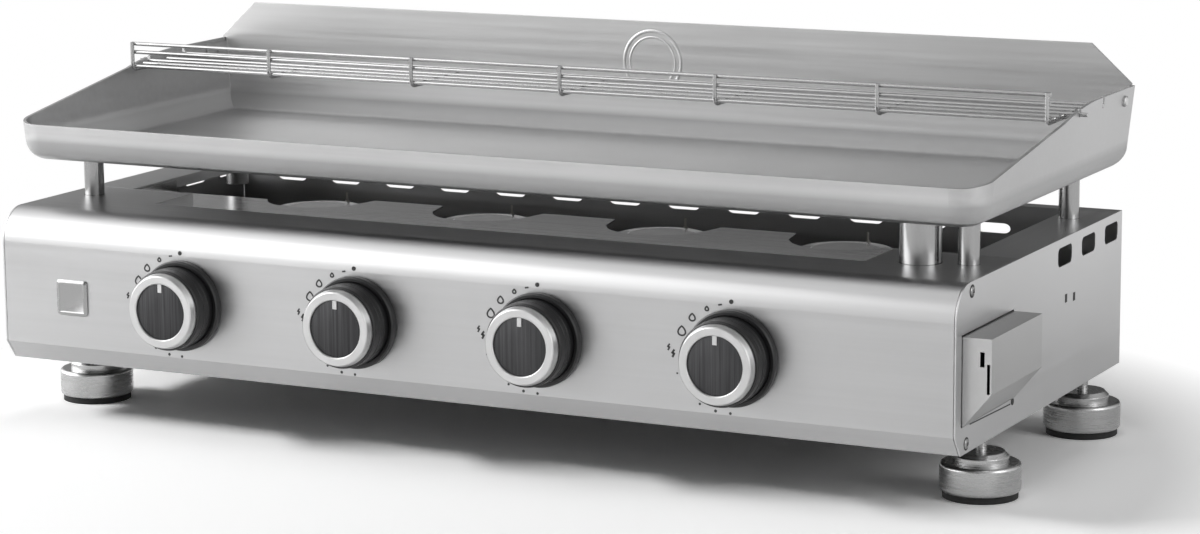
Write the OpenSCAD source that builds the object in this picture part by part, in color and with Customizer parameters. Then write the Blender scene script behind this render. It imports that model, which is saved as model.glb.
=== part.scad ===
// Outdoor gas griddle station: a table-top burner housing with four round
// burners, a griddle tray that stands in it on four posts, a splash guard, a
// wire warming rack, a grease drawer on the right and four levelling feet.
// The origin lies on the floor, under the middle of the whole object.

/* [Housing] */
// Width of the housing over its side panels
body_w = 760; // [745:1:790]
// Depth of the housing, front face to back face
body_d = 334; // [324:1:360]
// Height of the housing's underside above the floor
body_z = 47; // [42:1:60]
// Height of the housing, underside to top
body_h = 114; // [112:1:126]
// Thickness of the housing's steel sheet
sheet = 1.2; // [0.8:0.1:1.5]
// Outer radius of the bend along the top front edge
bend_r = 24; // [16:1:28]
// Depth of the top strip, front face to the burner opening
strip_d = 69; // [62:1:74]
// Height of the slanted band along the bottom front edge
band_h = 14; // [9:1:18]
// Depth of the slanted band along the bottom front edge
band_d = 10; // [6:1:12]
// Width of each corner wing of the top, side face to the opening
wing_w = 92; // [86:1:100]
// Depth of each corner wing behind the top strip
wing_d = 50; // [46:1:60]
// Width of the side panels' top flanges
flange_w = 37; // [36:1:48]

/* [Vents] */
// Length of one side vent
vent_l = 29; // [20:1:34]
// Height of one side vent
vent_h = 13.5; // [9:0.5:16]
// Distance between side vents
vent_pitch = 50; // [40:1:54]
// Number of slots in the back panel
slot_count = 14; // [8:1:14]
// Length of one back slot
slot_l = 27.5; // [20:0.5:34]
// Height of one back slot
slot_h = 11; // [8:0.5:15]
// Distance between back slots
slot_pitch = 51; // [42:1:53]

/* [Controls] */
// Distance between knobs
knob_pitch = 147; // [136:1:150]
// Height of the knob centres above the housing's underside
knob_up = 54; // [50:1:60]
// Radius of the bezel on the panel
bezel_r = 33.25; // [31:0.25:36]
// Radius of the knob's black skirt
skirt_r = 29.5; // [24:0.25:30]
// Radius of the light ring at the knob's front
ring_r = 26.5; // [22:0.25:27]
// Radius of the dark face inside the ring
face_r = 20.5; // [15:0.25:22]
// How far the knob stands out of the front panel
knob_out = 30.5; // [28:0.5:36]
// Travel of a knob that is pushed in
push = 3; // [2:0.5:4]
// Radius of the valve stem
stem_r = 3; // [2.5:0.1:3.5]

/* [Burners] */
// Radius of a burner cup
cup_r = 34; // [28:0.5:36]
// Number of flame ports round one burner
port_count = 20; // [12:1:24]
// Outer radius of the burner's gas tube
pipe_r = 11; // [9:0.5:12]
// Outer radius of the gas manifold
manifold_r = 8; // [6:0.5:9]
// Radius of the gas inlet's male thread
inlet_r = 10.48; // [9:0.01:12]

/* [Griddle] */
// How far the tray's rims stand out past the housing's sides
plate_over = 9.5; // [2:0.5:12]
// Distance of the tray's front rim behind the housing's front
plate_in = 25; // [22:1:38]
// Distance of the tray's back rim from the housing's back
plate_clear = 5; // [0:1:12]
// Height of the tray's underside above the housing
plate_up = 33; // [31:1:45]
// Thickness of the griddle tray
plate_t = 2.5; // [2:0.1:4]
// Outer height of the tray's side and back walls
wall_h = 60; // [54:1:66]
// Outer height of the tray's front wall
lip_h = 28; // [22:1:34]
// Outer radius of the bend between floor and wall
floor_r = 16; // [10:1:18]
// Lean of the walls from the vertical, in degrees
lean = 5; // [3:1:12]
// Radius of the front corners at the floor
corner_r = 6; // [3:1:12]
// Radius of the posts that carry the tray
post_r = 7.5; // [6:0.5:8]
// Outer radius of the grease tube
tube_r = 14.5; // [13:0.5:16]
// Height of the splash guard above the tray's rim
guard_h = 30; // [20:0.5:50]

/* [Warming rack] */
// Radius of the rack's wire
wire_r = 1.5; // [1.2:0.1:1.8]
// Number of bent cross wires
cross_count = 7; // [5:1:8]
// Number of shelf rods
rod_count = 6; // [4:1:7]
// Distance between shelf rods
rod_pitch = 16.6; // [14:0.2:18]
// Height of the guard rail above the shelf
rail_h = 19; // [14:1:30]

/* [Grease drawer] */
// Length of the drawer inside the housing
drawer_l = 126; // [100:1:134]
// Width of the drawer opening
drawer_w = 98; // [80:1:100]
// Height of the drawer opening
drawer_h = 62; // [56:1:64]
// How far the drawer front stands out of the side panel
front_out = 20.5; // [16:0.5:26]

/* [Feet] */
// Radius of a foot pad
foot_r = 28; // [22:0.5:29]
// Height of a foot pad
pad_h = 20; // [16:0.5:22]
// Thickness of the rubber sole
sole_h = 4.5; // [3:0.5:6]
// Radius of the foot's threaded stud
stud_r = 4; // [3:0.5:5]

/* [Hidden] */
$fn = 96;

// Overrun of every cut
over = 1;
// Gap between sheets that lie side by side
seam = 0.4;
// Gap under a piece that rests on another body
seat = 0.3;
// Middle place in a row of four
mid_count = 1.5;
// Gap between sheets that lie flat on each other
lay = 0.2;
// Radial play of a running fit
run = 0.05;

// Levels and faces of the housing
half_w = body_w / 2;
front_y = -body_d / 2;
back_y = body_d / 2;
base_z = body_z;
top_z = body_z + body_h;
strip_y = front_y + strip_d;
wing_x = half_w - wing_w;
wing_y = strip_y + wing_d;
flange_x = half_w - flange_w;
panel_x = half_w - sheet - seam;
under_top = top_z - sheet;
pan_z = base_z + sheet + lay;
pan_top = pan_z + sheet;
// Radius of the small fold along the opening, and height of its down-turned lip
fold_r = 2.5;
fold_lip = 14;
// Depth of the bottom return flange of the front panel and of the side panels
base_lip = 10;
// Distance of the bottom pan's front edge behind the slanted band
pan_in = 4;
// Depth of the back panel's top flange
back_lip = 13;
flange_lip = 8;
// Length of the slanted band's section
band_l = sqrt(band_h * band_h + band_d * band_d);

// Heights of the vents and slots above the underside
vent_down = 13;
slot_down = 15.5;
vent_r = 4;
// Distance from the back face to the middle of the last vent
vent_back = 24;

// Knobs
knob_z = base_z + knob_up;
panel_hole = 8;
// Parts of the bezel: its height and floor, and the bevel of the black parts
bezel_h = 6;
bezel_floor = 1.2;
bevel = 1;
// Parts of the knob: gap in the bezel, wall, start of the skirt, hub
skirt_gap = 0.5;
skirt_wall = 2.5;
skirt_rise = 0.6;
skirt_in = bezel_floor + push + skirt_rise;
hub_r = 7;
ring_h = 6;
face_in = 1.6;
ring_edge = 1.3;
tick_w = 3.3;
tick_l = 6.2;
tick_rise = 0.7;
stem_front = 20;
stem_back = 33;
flat_in = 0.8;
flat_l = 12;
// Gas valve behind the panel: front and back of its block, its size, its bush
valve_front = 8;
valve_back = 42;
valve_w = 22;
bush_r = 7;
bush_out = 0.5;
collar_r = 5.5;
collar_l = 4;
collar_in = 1;
spring_room = 16;
stem_room = 38;
nozzle_r = 5;
nozzle_l = 8;
jet_r = 2.5;
jet_l = 10;
boss_r = 5;

// Burners
burner_in = 193;
burner_y = front_y + burner_in;
pipe_z = knob_z;
pipe_wall = 1;
pipe_in = 57;
pipe_front = front_y + pipe_in;
mouth_r = 14;
mouth_l = 8;
neck_r = 14;
neck_h = 15;
dish_h = 8;
cup_h = 10;
neck_top = pipe_z + neck_h;
dish_top = neck_top + dish_h;
cup_top = dish_top + cup_h;
port_h = 4;
port_w = 3;
rim_w = 5;
cup_wall = 2;
cap_over = 2;
cap_h = 6;
rail_half = knob_pitch * mid_count + neck_r + pipe_r;
rail_flange = 14;
ear_l = 12;
ear_w = 14;
ear_h = 3;
electrode_gap = 8;
electrode_out = cup_r + electrode_gap;
ceramic_r = 3.5;
ceramic_up = 9;
ceramic_down = 14;
pin_r = 0.9;
pin_up = 6;
shoulder_r = 5;
shoulder_h = 2;

// Gas path
manifold_in = 25;
manifold_drop = 4;
manifold_wall = 1.2;
manifold_bend = 30;
manifold_over = 15;
supply_in = 50;
manifold_y = front_y + manifold_in;
manifold_z = knob_z - valve_w / 2 - manifold_drop - manifold_r;
manifold_end = knob_pitch * mid_count + manifold_over;
supply_x = half_w - supply_in;
nut_r = 15;
nut_h = 6;
tail_r = 9;
tail_l = 9;
thread_l = 14;
bore_r = 4.5;

// Burner deck: drop under the top, lip, rear edge, tabs between the burners
deck_drop = 11;
deck_lip = 12;
deck_z = top_z - deck_drop;
deck_short = 16;
tab_long = 12;
tab_half = 36;
tab_end = 30;
scallop_gap = 6;
deck_back = burner_y - deck_short;
tab_back = burner_y + tab_long;
scallop_r = cup_r + scallop_gap;
hanger_w = 10;

// Griddle tray
plate_z = top_z + plate_up;
plate_w = body_w + 2 * plate_over;
plate_back = back_y - plate_clear;
plate_front = front_y + plate_in;
rim_z = plate_z + wall_h;
lip_z = plate_z + lip_h;
// Height where the bend ends and the flat wall starts, and the wall's run outward
bend_top = floor_r * (1 - sin(lean));
bend_out = floor_r * cos(lean);
floor_x = plate_w / 2 - bend_out - (wall_h - bend_top) * tan(lean);
floor_back = plate_back - bend_out - (wall_h - bend_top) * tan(lean);
floor_front = plate_front + bend_out + (lip_h - bend_top) * tan(lean);
// The side walls' top edge: a straight rise from the front lip, then an arc to the level rim
fall_level = 77;
fall_in = 3;
fall_r = 300;
fall_cross = 5;
fall_back = plate_back - fall_level;
fall_front = plate_front + fall_in;
fall_run = fall_back - fall_front;
fall_deep = fall_r - wall_h + lip_h;
fall_reach = sqrt(fall_run * fall_run + fall_deep * fall_deep);
fall_near = fall_r * cos(fall_cross);
fall_l = sqrt(fall_reach * fall_reach - fall_near * fall_near);
fall_a = asin(fall_near / fall_reach) - atan2(fall_deep, fall_run);
fall_mid = [fall_front + fall_l * cos(fall_a), lip_h + fall_l * sin(fall_a)];

// Posts and their cups
post_side = 24.5;
post_in = 86;
post_rear = 47;
post_x = half_w - post_side;
post_front = front_y + post_in;
post_back = back_y - post_rear;
post_gap = 0.4;
cup_deep = 20;
rim_out = 1.4;
cup_rim = post_r + post_gap + sheet + rim_out;
post_tip = 1.5;

// Grease tube
tube_side = 57;
tube_in = 80;
tube_wall = 1.5;
tube_gap = 0.8;
tube_deep = 30;
flange_out = 3.5;
drain_step = 2;
tube_x = half_w - tube_side;
tube_y = front_y + tube_in;
tube_low = top_z - tube_deep;
tube_flange = tube_r + flange_out;
drain_r = tube_r - tube_wall - drain_step;

// Splash guard
guard_deep = 17;
guard_low = rim_z - guard_deep;
guard_step = 0.3;
guard_sh = 2;
guard_slope_w = 31;
guard_gap = 0.5;
guard_y = plate_back - plate_w / 2 + wall_in(guard_low) - guard_gap - sheet;
tab_l = 30;
tab_deep = 16;
tab_drop = 2.5;
screw_drop = 9;
tab_low = rim_z - tab_deep;
tab_high = rim_z - tab_drop;
screw_y = guard_y - tab_l / 2;
screw_z = rim_z - screw_drop;
screw_r = 2;
screw_gap = 0.2;
head_r = 4;
head_h = 2;
screw_l = 6;

// Warming rack
rack_gap = 63;
shelf_drop = 6;
shelf_z = rim_z - shelf_drop;
bend_w = 5;
cross_gap = 6.5;
cross_x = wall_in(shelf_z - 2 * bend_w) - wire_r - cross_gap;
cross_pitch = 2 * cross_x / (cross_count - 1);
weld = 0.4;
mid_rail_share = 0.58;
rod_in = 1;
hang_out = 5.5;
notch_gap = 0.4;
notch_w = 2 * (wire_r + notch_gap);
hang_front = 2;
hang_back = rod_count - 1;
rod_first = 2 * wire_r - weld;
rack_front = guard_y - rack_gap - hang_back * rod_pitch - rod_first;

// Grease drawer
drawer_in = 10;
drawer_up = 19;
drawer_gap = 1;
drawer_wall = 1;
tray_drop = 16;
tray_h = drawer_h - tray_drop;
drawer_y0 = front_y + drawer_in;
drawer_z0 = base_z + drawer_up;
slope_up = 23;
slope_in = 1.2;
ear_slot_w = 3;
ear_slot_h = 10;
ear_slot_in = 5;
ear_slot_drop = 9;
slit_w = 2;
slit_h = 20;
rail_lip = 14;
rail_in = 12;

// Feet
foot_side = 16.6;
foot_in = 91.5;
foot_rear = 34;
foot_x = half_w - foot_side;
foot_front = front_y + foot_in;
foot_back = back_y - foot_rear;
pad_round = 2.5;
top_r = 19.5;
top_h = 7.5;
top_bevel = 3;
sole_in = 2;
stud_deep = 13;
boss_wall = 3.5;
boss_deep = 15;
stud_top = base_z + stud_deep;
boss_w = stud_r + boss_wall;
boss_top = base_z + boss_deep;

// Middle of the whole object, which becomes the origin
rack_reach = wall_out(shelf_z) + hang_out;
left_reach = max(rack_reach, foot_x + foot_r, plate_w / 2);
right_reach = max(left_reach, half_w + front_out);
front_reach = max(body_d / 2 + knob_out, -plate_front);
back_reach = body_d / 2 + nut_h + thread_l;
mid_x = (right_reach - left_reach) / 2;
mid_y = (back_reach - front_reach) / 2;

// Outer and inner face of the tray's side walls at a height
function wall_out(z) = plate_w / 2 - (rim_z - z) * tan(lean);
function wall_in(z) = wall_out(z) - plate_t / cos(lean);
// Middle of a knob, of a back slot and of a side vent, counted from the left or front
function knob_x(i) = (i - mid_count) * knob_pitch;
function slot_x(i) = (i - (slot_count - 1) / 2) * slot_pitch;
function vent_y(i) = back_y - vent_back - i * vent_pitch;
function rod_y(i) = rack_front + rod_first + i * rod_pitch;

// Colours, as greys
steel = [0.72, 0.72, 0.73];
steel_dark = [0.45, 0.45, 0.46];
steel_light = [0.85, 0.85, 0.85];
black = [0.12, 0.12, 0.13];
brass = [0.72, 0.62, 0.38];
ceramic = [0.92, 0.91, 0.88];
rubber = [0.1, 0.1, 0.1];

// Helpers

// Moves the housing's own frame to the middle of the whole object
module centred() {
  translate([-mid_x, -mid_y, 0]) children();
}

// Box between two corners
module block(a, b) {
  translate(a) cube(b - a);
}

// Outline in (y, z), carried along X from x0 to x1
module across(x0, x1) {
  translate([x0, 0, 0]) rotate([90, 0, 90]) linear_extrude(height = x1 - x0) children();
}

// Outline in (x, z), carried along Y from y0 to y1
module along(y0, y1) {
  translate([0, y1, 0]) rotate([90, 0, 0]) linear_extrude(height = y1 - y0) children();
}

// Stands on the front panel at knob i, local Z pointing out of the panel
module at_knob(i) {
  translate([knob_x(i), front_y, knob_z]) rotate([90, 0, 0]) children();
}

// Cylinder between two heights
module rod(r, z0, z1) {
  translate([0, 0, z0]) cylinder(r = r, h = z1 - z0);
}

// Rectangle with rounded corners about its middle
module soft_rect(w, h, r) {
  square([w - 2 * r, h], center = true);
  square([w, h - 2 * r], center = true);
  for (sx = [-1, 1], sy = [-1, 1])
    translate([sx * (w / 2 - r), sy * (h / 2 - r)]) circle(r = r);
}

// Slot with round ends about its middle
module slot(w, h) {
  square([w - h, h], center = true);
  for (s = [-1, 1])
    translate([s * (w - h) / 2, 0]) circle(r = h / 2);
}

// Children at the four posts
module at_posts() {
  for (s = [-1, 1], y = [post_front, post_back])
    translate([s * post_x, y, 0]) children();
}

// Housing

// Side view of the housing, drawn in by e from its skin
module skin(e) {
  difference() {
    polygon([
      [front_y + e, base_z + band_h + e * (band_l - band_h) / band_d],
      [front_y + band_d + e * (band_l - band_d) / band_h, base_z + e],
      [back_y - e, base_z + e],
      [back_y - e, top_z - e],
      [front_y + e, top_z - e]
    ]);
    translate([front_y - over, top_z - bend_r]) square([bend_r + over, bend_r + over]);
  }
  intersection() {
    translate([front_y + bend_r, top_z - bend_r]) circle(r = bend_r - e);
    translate([front_y - over, top_z - bend_r]) square([bend_r + over, bend_r + over]);
  }
}

// Part of the skin that is the front panel
module front_reach_area() {
  polygon([
    [front_y - over, base_z - over],
    [front_y + band_d + base_lip, base_z - over],
    [front_y + band_d + base_lip, base_z + band_h],
    [strip_y - fold_r, top_z - bend_r],
    [strip_y - fold_r, top_z + over],
    [front_y - over, top_z + over]
  ]);
}

// Small fold at the end of the top strip, with its lip
module fold() {
  translate([strip_y - fold_r, top_z - fold_r]) difference() {
    intersection() {
      circle(r = fold_r);
      square([fold_r, fold_r]);
    }
    circle(r = fold_r - sheet);
  }
  translate([strip_y - sheet, top_z - fold_lip]) square([sheet, fold_lip - fold_r]);
}

module front_panel() color(steel) centred() {
  difference() {
    union() {
      across(-panel_x, panel_x) intersection() {
        difference() {
          skin(0);
          skin(sheet);
        }
        front_reach_area();
      }
      across(-wing_x, wing_x) fold();
      for (s = [-1, 1]) {
        block([min(s * wing_x, s * panel_x), strip_y - fold_r, under_top],
              [max(s * wing_x, s * panel_x), wing_y, top_z]);
        block([min(s * wing_x, s * (wing_x + sheet)), strip_y + lay, top_z - fold_lip],
              [max(s * wing_x, s * (wing_x + sheet)), wing_y, under_top]);
      }
    }
    for (i = [0 : 3])
      at_knob(i) rod(panel_hole, -sheet - over, over);
    for (s = [-1, 1])
      translate([s * post_x, post_front, 0]) rod(post_r + post_gap, under_top - over, top_z + over);
    translate([tube_x, tube_y, 0]) rod(tube_r + tube_gap, under_top - over, top_z + over);
  }
}

// Side panel on the right; the left one is its mirror image without the drawer opening
module side_panel(with_drawer) {
  difference() {
    union() {
      across(half_w - sheet, half_w) skin(0);
      block([flange_x, wing_y + seam, under_top],
            [half_w - sheet, back_y - back_lip - seam, top_z]);
      block([flange_x, deck_back + seam, top_z - flange_lip],
            [flange_x + sheet, back_y - back_lip - seam, under_top]);
      block([half_w - sheet - base_lip, front_y + band_d + base_lip + seam, base_z],
            [half_w - sheet, back_y - base_lip - sheet - seam, base_z + sheet]);
    }
    for (i = [0 : 2])
      across(half_w - sheet - over, half_w + over)
        translate([vent_y(i), top_z - vent_down]) soft_rect(vent_l, vent_h, vent_r);
    translate([post_x, post_back, 0]) rod(post_r + post_gap, under_top - over, top_z + over);
    if (with_drawer)
      block([half_w - sheet - over, drawer_y0, drawer_z0],
            [half_w + over, drawer_y0 + drawer_w, drawer_z0 + drawer_h]);
  }
}

module left_side_panel() color(steel) centred() mirror([1, 0, 0]) side_panel(false);

module right_side_panel() color(steel) centred() side_panel(true);

module back_panel() color(steel) centred() {
  difference() {
    union() {
      block([-panel_x, back_y - sheet, base_z], [panel_x, back_y, top_z]);
      block([-panel_x, back_y - back_lip, under_top], [panel_x, back_y - sheet, top_z]);
      block([-panel_x, back_y - sheet - base_lip, base_z], [panel_x, back_y - sheet, base_z + sheet]);
    }
    for (i = [0 : slot_count - 1])
      along(back_y - sheet - over, back_y + over)
        translate([slot_x(i), top_z - slot_down]) slot(slot_l, slot_h);
    translate([-supply_x, back_y, manifold_z]) rotate([90, 0, 0])
      rod(tail_r + seam, -over, sheet + over);
  }
}

module bottom_pan() color(steel_dark) centred() {
  difference() {
    union() {
      block([-panel_x, front_y + band_d + pan_in, pan_z], [panel_x, back_y - sheet - seam, pan_top]);
      for (s = [-1, 1], y = [foot_front, foot_back])
        translate([s * foot_x, y, 0]) rod(boss_w, pan_z, boss_top);
    }
    for (s = [-1, 1], y = [foot_front, foot_back])
      translate([s * foot_x, y, 0]) rod(stud_r + run, pan_z - over, boss_top + over);
  }
}

// Plan of the deck: shelf behind the fold with tabs between round cut-outs
module deck_plan() {
  difference() {
    union() {
      translate([-wing_x + seam, strip_y + seam])
        square([2 * (wing_x - seam), deck_back - strip_y - seam]);
      translate([-flange_x + seam, wing_y + seam])
        square([2 * (flange_x - seam), deck_back - wing_y - seam]);
      for (i = [0 : 2])
        translate([(i - 1) * knob_pitch, 0]) polygon([
          [-tab_half, deck_back - over], [tab_half, deck_back - over],
          [tab_end, tab_back], [-tab_end, tab_back]
        ]);
    }
    for (i = [0 : 3])
      translate([knob_x(i), burner_y]) circle(r = scallop_r);
  }
}

module burner_deck() color(steel_dark) centred() {
  translate([0, 0, deck_z - sheet]) linear_extrude(height = sheet) deck_plan();
  block([-wing_x + seam, strip_y + seam, deck_z - deck_lip],
        [wing_x - seam, strip_y + seam + sheet, deck_z - sheet]);
  for (s = [-1, 1]) {
    block([min(s * (flange_x - seam), s * (flange_x - seam - sheet)), wing_y + seam, deck_z],
          [max(s * (flange_x - seam), s * (flange_x - seam - sheet)), deck_back, under_top - lay]);
    block([min(s * (flange_x - seam), s * (flange_x + hanger_w)), wing_y + seam, under_top - lay - sheet],
          [max(s * (flange_x - seam), s * (flange_x + hanger_w)), deck_back, under_top - lay]);
  }
}

module burner_rail() color(steel_dark) centred() {
  across(-rail_half, rail_half) {
    translate([burner_y - rail_flange, pan_top]) square([rail_flange, sheet]);
    translate([burner_y, pan_top]) square([sheet, pipe_z - pipe_r - lay - pan_top]);
    translate([burner_y - rail_flange, pipe_z - pipe_r - lay - sheet]) square([rail_flange, sheet]);
  }
}

// Round burner: a cup with a toothed rim on a neck, fed by a tube from the valve
module burner(i) color(steel_light) centred() translate([knob_x(i), burner_y, 0]) {
  difference() {
    union() {
      rotate_extrude() polygon([
        [0, pipe_z - pipe_r], [neck_r, pipe_z - pipe_r], [neck_r, neck_top],
        [cup_r, dish_top], [cup_r, cup_top + port_h], [0, cup_top + port_h]
      ]);
      translate([0, 0, pipe_z]) rotate([90, 0, 0]) {
        rod(pipe_r, 0, burner_y - pipe_front);
        rod(mouth_r, burner_y - pipe_front - mouth_l, burner_y - pipe_front);
      }
      translate([-ear_w / 2, cup_r - rim_w, cup_top - ear_h]) cube([ear_w, ear_l + rim_w, ear_h]);
    }
    rotate_extrude() polygon([
      [0, pipe_z - pipe_r + cup_wall], [neck_r - cup_wall, pipe_z - pipe_r + cup_wall],
      [neck_r - cup_wall, neck_top + cup_wall], [cup_r - rim_w, dish_top + cup_wall],
      [cup_r - rim_w, cup_top + port_h + over], [0, cup_top + port_h + over]
    ]);
    translate([0, 0, pipe_z]) rotate([90, 0, 0]) {
      rod(pipe_r - pipe_wall, 0, burner_y - pipe_front + over);
      rod(mouth_r - pipe_wall, burner_y - pipe_front - mouth_l + pipe_wall, burner_y - pipe_front + over);
    }
    for (k = [0 : port_count - 1])
      rotate([0, 0, k * 360 / port_count])
        translate([cup_r - rim_w - over, -port_w / 2, cup_top])
          cube([rim_w + 2 * over, port_w, port_h + over]);
    translate([0, electrode_out, 0]) rod(ceramic_r + run, cup_top - ear_h - over, cup_top + over);
  }
}

module burner_caps() color(steel) centred()
  for (i = [0 : 3])
    translate([knob_x(i), burner_y, cup_top + port_h + run]) rotate_extrude() polygon([
      [0, 0], [cup_r, 0], [cup_r + cap_over, cap_h * 0.25], [cup_r + cap_over, cap_h * 0.6],
      [cup_r, cap_h * 0.85], [cup_r - rim_w, cap_h * 0.7], [cup_r - 2 * rim_w, cap_h], [0, cap_h]
    ]);

module igniter_electrodes() color(ceramic) centred()
  for (i = [0 : 3])
    translate([knob_x(i), burner_y + electrode_out, cup_top]) rotate_extrude() polygon([
      [0, -ceramic_down], [ceramic_r, -ceramic_down], [ceramic_r, run], [shoulder_r, run],
      [shoulder_r, shoulder_h], [ceramic_r, shoulder_h], [ceramic_r, ceramic_up * 0.7],
      [pin_r, ceramic_up], [pin_r, ceramic_up + pin_up], [0, ceramic_up + pin_up]
    ]);

// Pipe along the front, round one corner and back to the inlet
module manifold_path(r, extra) {
  translate([manifold_end + extra, manifold_y, manifold_z]) rotate([0, -90, 0])
    rod(r, 0, manifold_end + extra + supply_x - manifold_bend);
  translate([-supply_x + manifold_bend, manifold_y + manifold_bend, manifold_z]) rotate([0, 0, 180])
    rotate_extrude(angle = 90) translate([manifold_bend, 0]) circle(r = r);
  translate([-supply_x, manifold_y + manifold_bend, manifold_z]) rotate([-90, 0, 0])
    rod(r, 0, back_y - sheet - tail_l - manifold_y - manifold_bend + (extra < 0 ? over : 0));
}

module gas_manifold() color(brass) centred() {
  difference() {
    manifold_path(manifold_r, 0);
    manifold_path(manifold_r - manifold_wall, -manifold_wall);
    for (i = [0 : 3])
      translate([knob_x(i), manifold_y, 0]) rod(boss_r + run, manifold_z, manifold_z + manifold_r + over);
  }
}

// Bulkhead fitting in the back panel with a male thread for the gas hose
module gas_inlet() color(brass) centred()
  translate([-supply_x, back_y, manifold_z]) rotate([-90, 0, 0]) difference() {
    union() {
      rod(tail_r, -sheet - tail_l + run, nut_h);
      translate([0, 0, -sheet - nut_h - lay]) cylinder(r = nut_r, h = nut_h, $fn = 6);
      translate([0, 0, lay]) cylinder(r = nut_r, h = nut_h, $fn = 6);
      rod(inlet_r, nut_h, nut_h + thread_l);
    }
    rod(bore_r, -sheet - tail_l - over, nut_h + thread_l + over);
  }

// Valve block behind the panel, with its bush in front and its jet behind
module gas_valve(i) color(brass) centred() {
  difference() {
    union() {
      block([knob_x(i) - valve_w / 2, front_y + valve_front, knob_z - valve_w / 2],
            [knob_x(i) + valve_w / 2, front_y + valve_back, knob_z + valve_w / 2]);
      at_knob(i) {
        rod(bush_r, -valve_front - over, bush_out);
        rod(nozzle_r, -valve_back - nozzle_l, -valve_back + over);
        rod(jet_r, -valve_back - nozzle_l - jet_l, -valve_back);
      }
      translate([knob_x(i), manifold_y, 0])
        rod(boss_r, manifold_z + manifold_r - manifold_wall, knob_z);
    }
    at_knob(i) {
      rod(collar_r + run, -spring_room, bush_out + over);
      rod(stem_r + run, -stem_room, bush_out);
    }
  }
}

// Stepped black ring on the panel round the knob
module knob_bezel(i) color(black) centred() at_knob(i) rotate_extrude() polygon([
    [bush_r + skirt_gap, lay], [bezel_r, lay], [bezel_r, bezel_h - bevel],
    [bezel_r - bevel, bezel_h], [skirt_r + skirt_gap, bezel_h],
    [skirt_r + skirt_gap, bezel_floor], [bush_r + skirt_gap, bezel_floor]
  ]);

module post_cups() color(steel_dark) centred() at_posts() rotate_extrude() polygon([
    [0, top_z - cup_deep - sheet], [post_r + post_gap + sheet, top_z - cup_deep - sheet],
    [post_r + post_gap + sheet, under_top - lay - sheet], [cup_rim, under_top - lay - sheet],
    [cup_rim, under_top - lay], [post_r + post_gap, under_top - lay],
    [post_r + post_gap, top_z - cup_deep], [0, top_z - cup_deep]
  ]);

// Rail under one edge of the drawer, in (y, z) from the drawer's edge
module guide_rail() {
  ledge = drawer_z0 + drawer_gap - seat;
  translate([0, pan_top]) {
    translate([rail_in - sheet, 0]) square([rail_in, sheet]);
    translate([rail_in - sheet, 0]) square([sheet, ledge - pan_top]);
  }
  translate([-sheet, ledge - sheet]) square([rail_in + sheet, sheet]);
  translate([-sheet, ledge - sheet]) square([sheet, rail_lip]);
}

module drawer_guides() color(steel_dark) centred() {
  across(half_w - drawer_l, foot_x - boss_w - seat) {
    translate([drawer_y0 + drawer_gap - seam, 0]) guide_rail();
    translate([drawer_y0 + drawer_w - drawer_gap + seam, 0]) mirror([1, 0]) guide_rail();
  }
}

// Griddle

// Filled outline inside a wall: floor, bend of radius r about the end of the floor, leaning wall
module wall_fill(r, reach) {
  corner = r * cos(lean) - r * (1 - sin(lean)) * tan(lean);
  difference() {
    polygon([[-reach, 0], [corner, 0], [corner + wall_h * tan(lean), wall_h], [-reach, wall_h]]);
    difference() {
      polygon([[0, r], [0, -over], [2 * r, -over], [2 * r * cos(lean), r - 2 * r * sin(lean)]]);
      translate([0, r]) circle(r = r);
    }
  }
}

// Section of the floor's edge, bend and wall
module tray_section() {
  difference() {
    wall_fill(floor_r, corner_r);
    translate([0, plate_t]) wall_fill(floor_r - plate_t, corner_r + over);
  }
}

// Right half of the tray's side and back walls, which meet in a mitre over the floor's corner
module mitred_walls() {
  reach = plate_w / 2 - floor_x + over;
  strip = corner_r + over;
  front = floor_front + corner_r - floor_back - over;
  intersection() {
    translate([floor_x, 0, 0]) along(floor_front + corner_r, floor_back + reach) tray_section();
    translate([floor_x, floor_back, -over]) linear_extrude(height = wall_h + 2 * over)
      polygon([[-strip, front], [-strip, -strip], [reach, reach], [reach, front]]);
  }
  intersection() {
    translate([0, floor_back, 0]) rotate([0, 0, 90]) along(-floor_x - reach, over) tray_section();
    translate([floor_x, floor_back, -over]) linear_extrude(height = wall_h + 2 * over)
      polygon([[-floor_x - over, -strip], [-strip, -strip], [reach, reach], [-floor_x - over, reach]]);
  }
}

module front_wall() {
  translate([0, floor_front, 0]) rotate([0, 0, -90])
    along(-floor_x + corner_r, floor_x - corner_r) tray_section();
}

module front_corner() {
  translate([floor_x - corner_r, floor_front + corner_r, 0]) {
    rotate([0, 0, -90]) rotate_extrude(angle = 90) translate([corner_r, 0]) tray_section();
    rod(corner_r / 2, 0, plate_t);
  }
}

// Space above the top edge: level at the back, then an arc and a straight fall to the front lip
module above_rim() {
  difference() {
    translate([plate_front - wall_h, lip_h]) square([fall_back - plate_front + wall_h, wall_h]);
    polygon([[fall_front, lip_h - over], [fall_front, lip_h], fall_mid, [fall_mid[0], lip_h - over]]);
    intersection() {
      translate([fall_back, wall_h - fall_r]) circle(r = fall_r);
      translate([fall_front, 0]) square([fall_run + over, 2 * wall_h]);
    }
  }
}

// Places its children at a side screw of the splash guard, Z pointing out of the wall
module at_screw(s) {
  translate([s * wall_out(screw_z), screw_y, screw_z]) rotate([0, s * (90 + lean), 0]) children();
}

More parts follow.
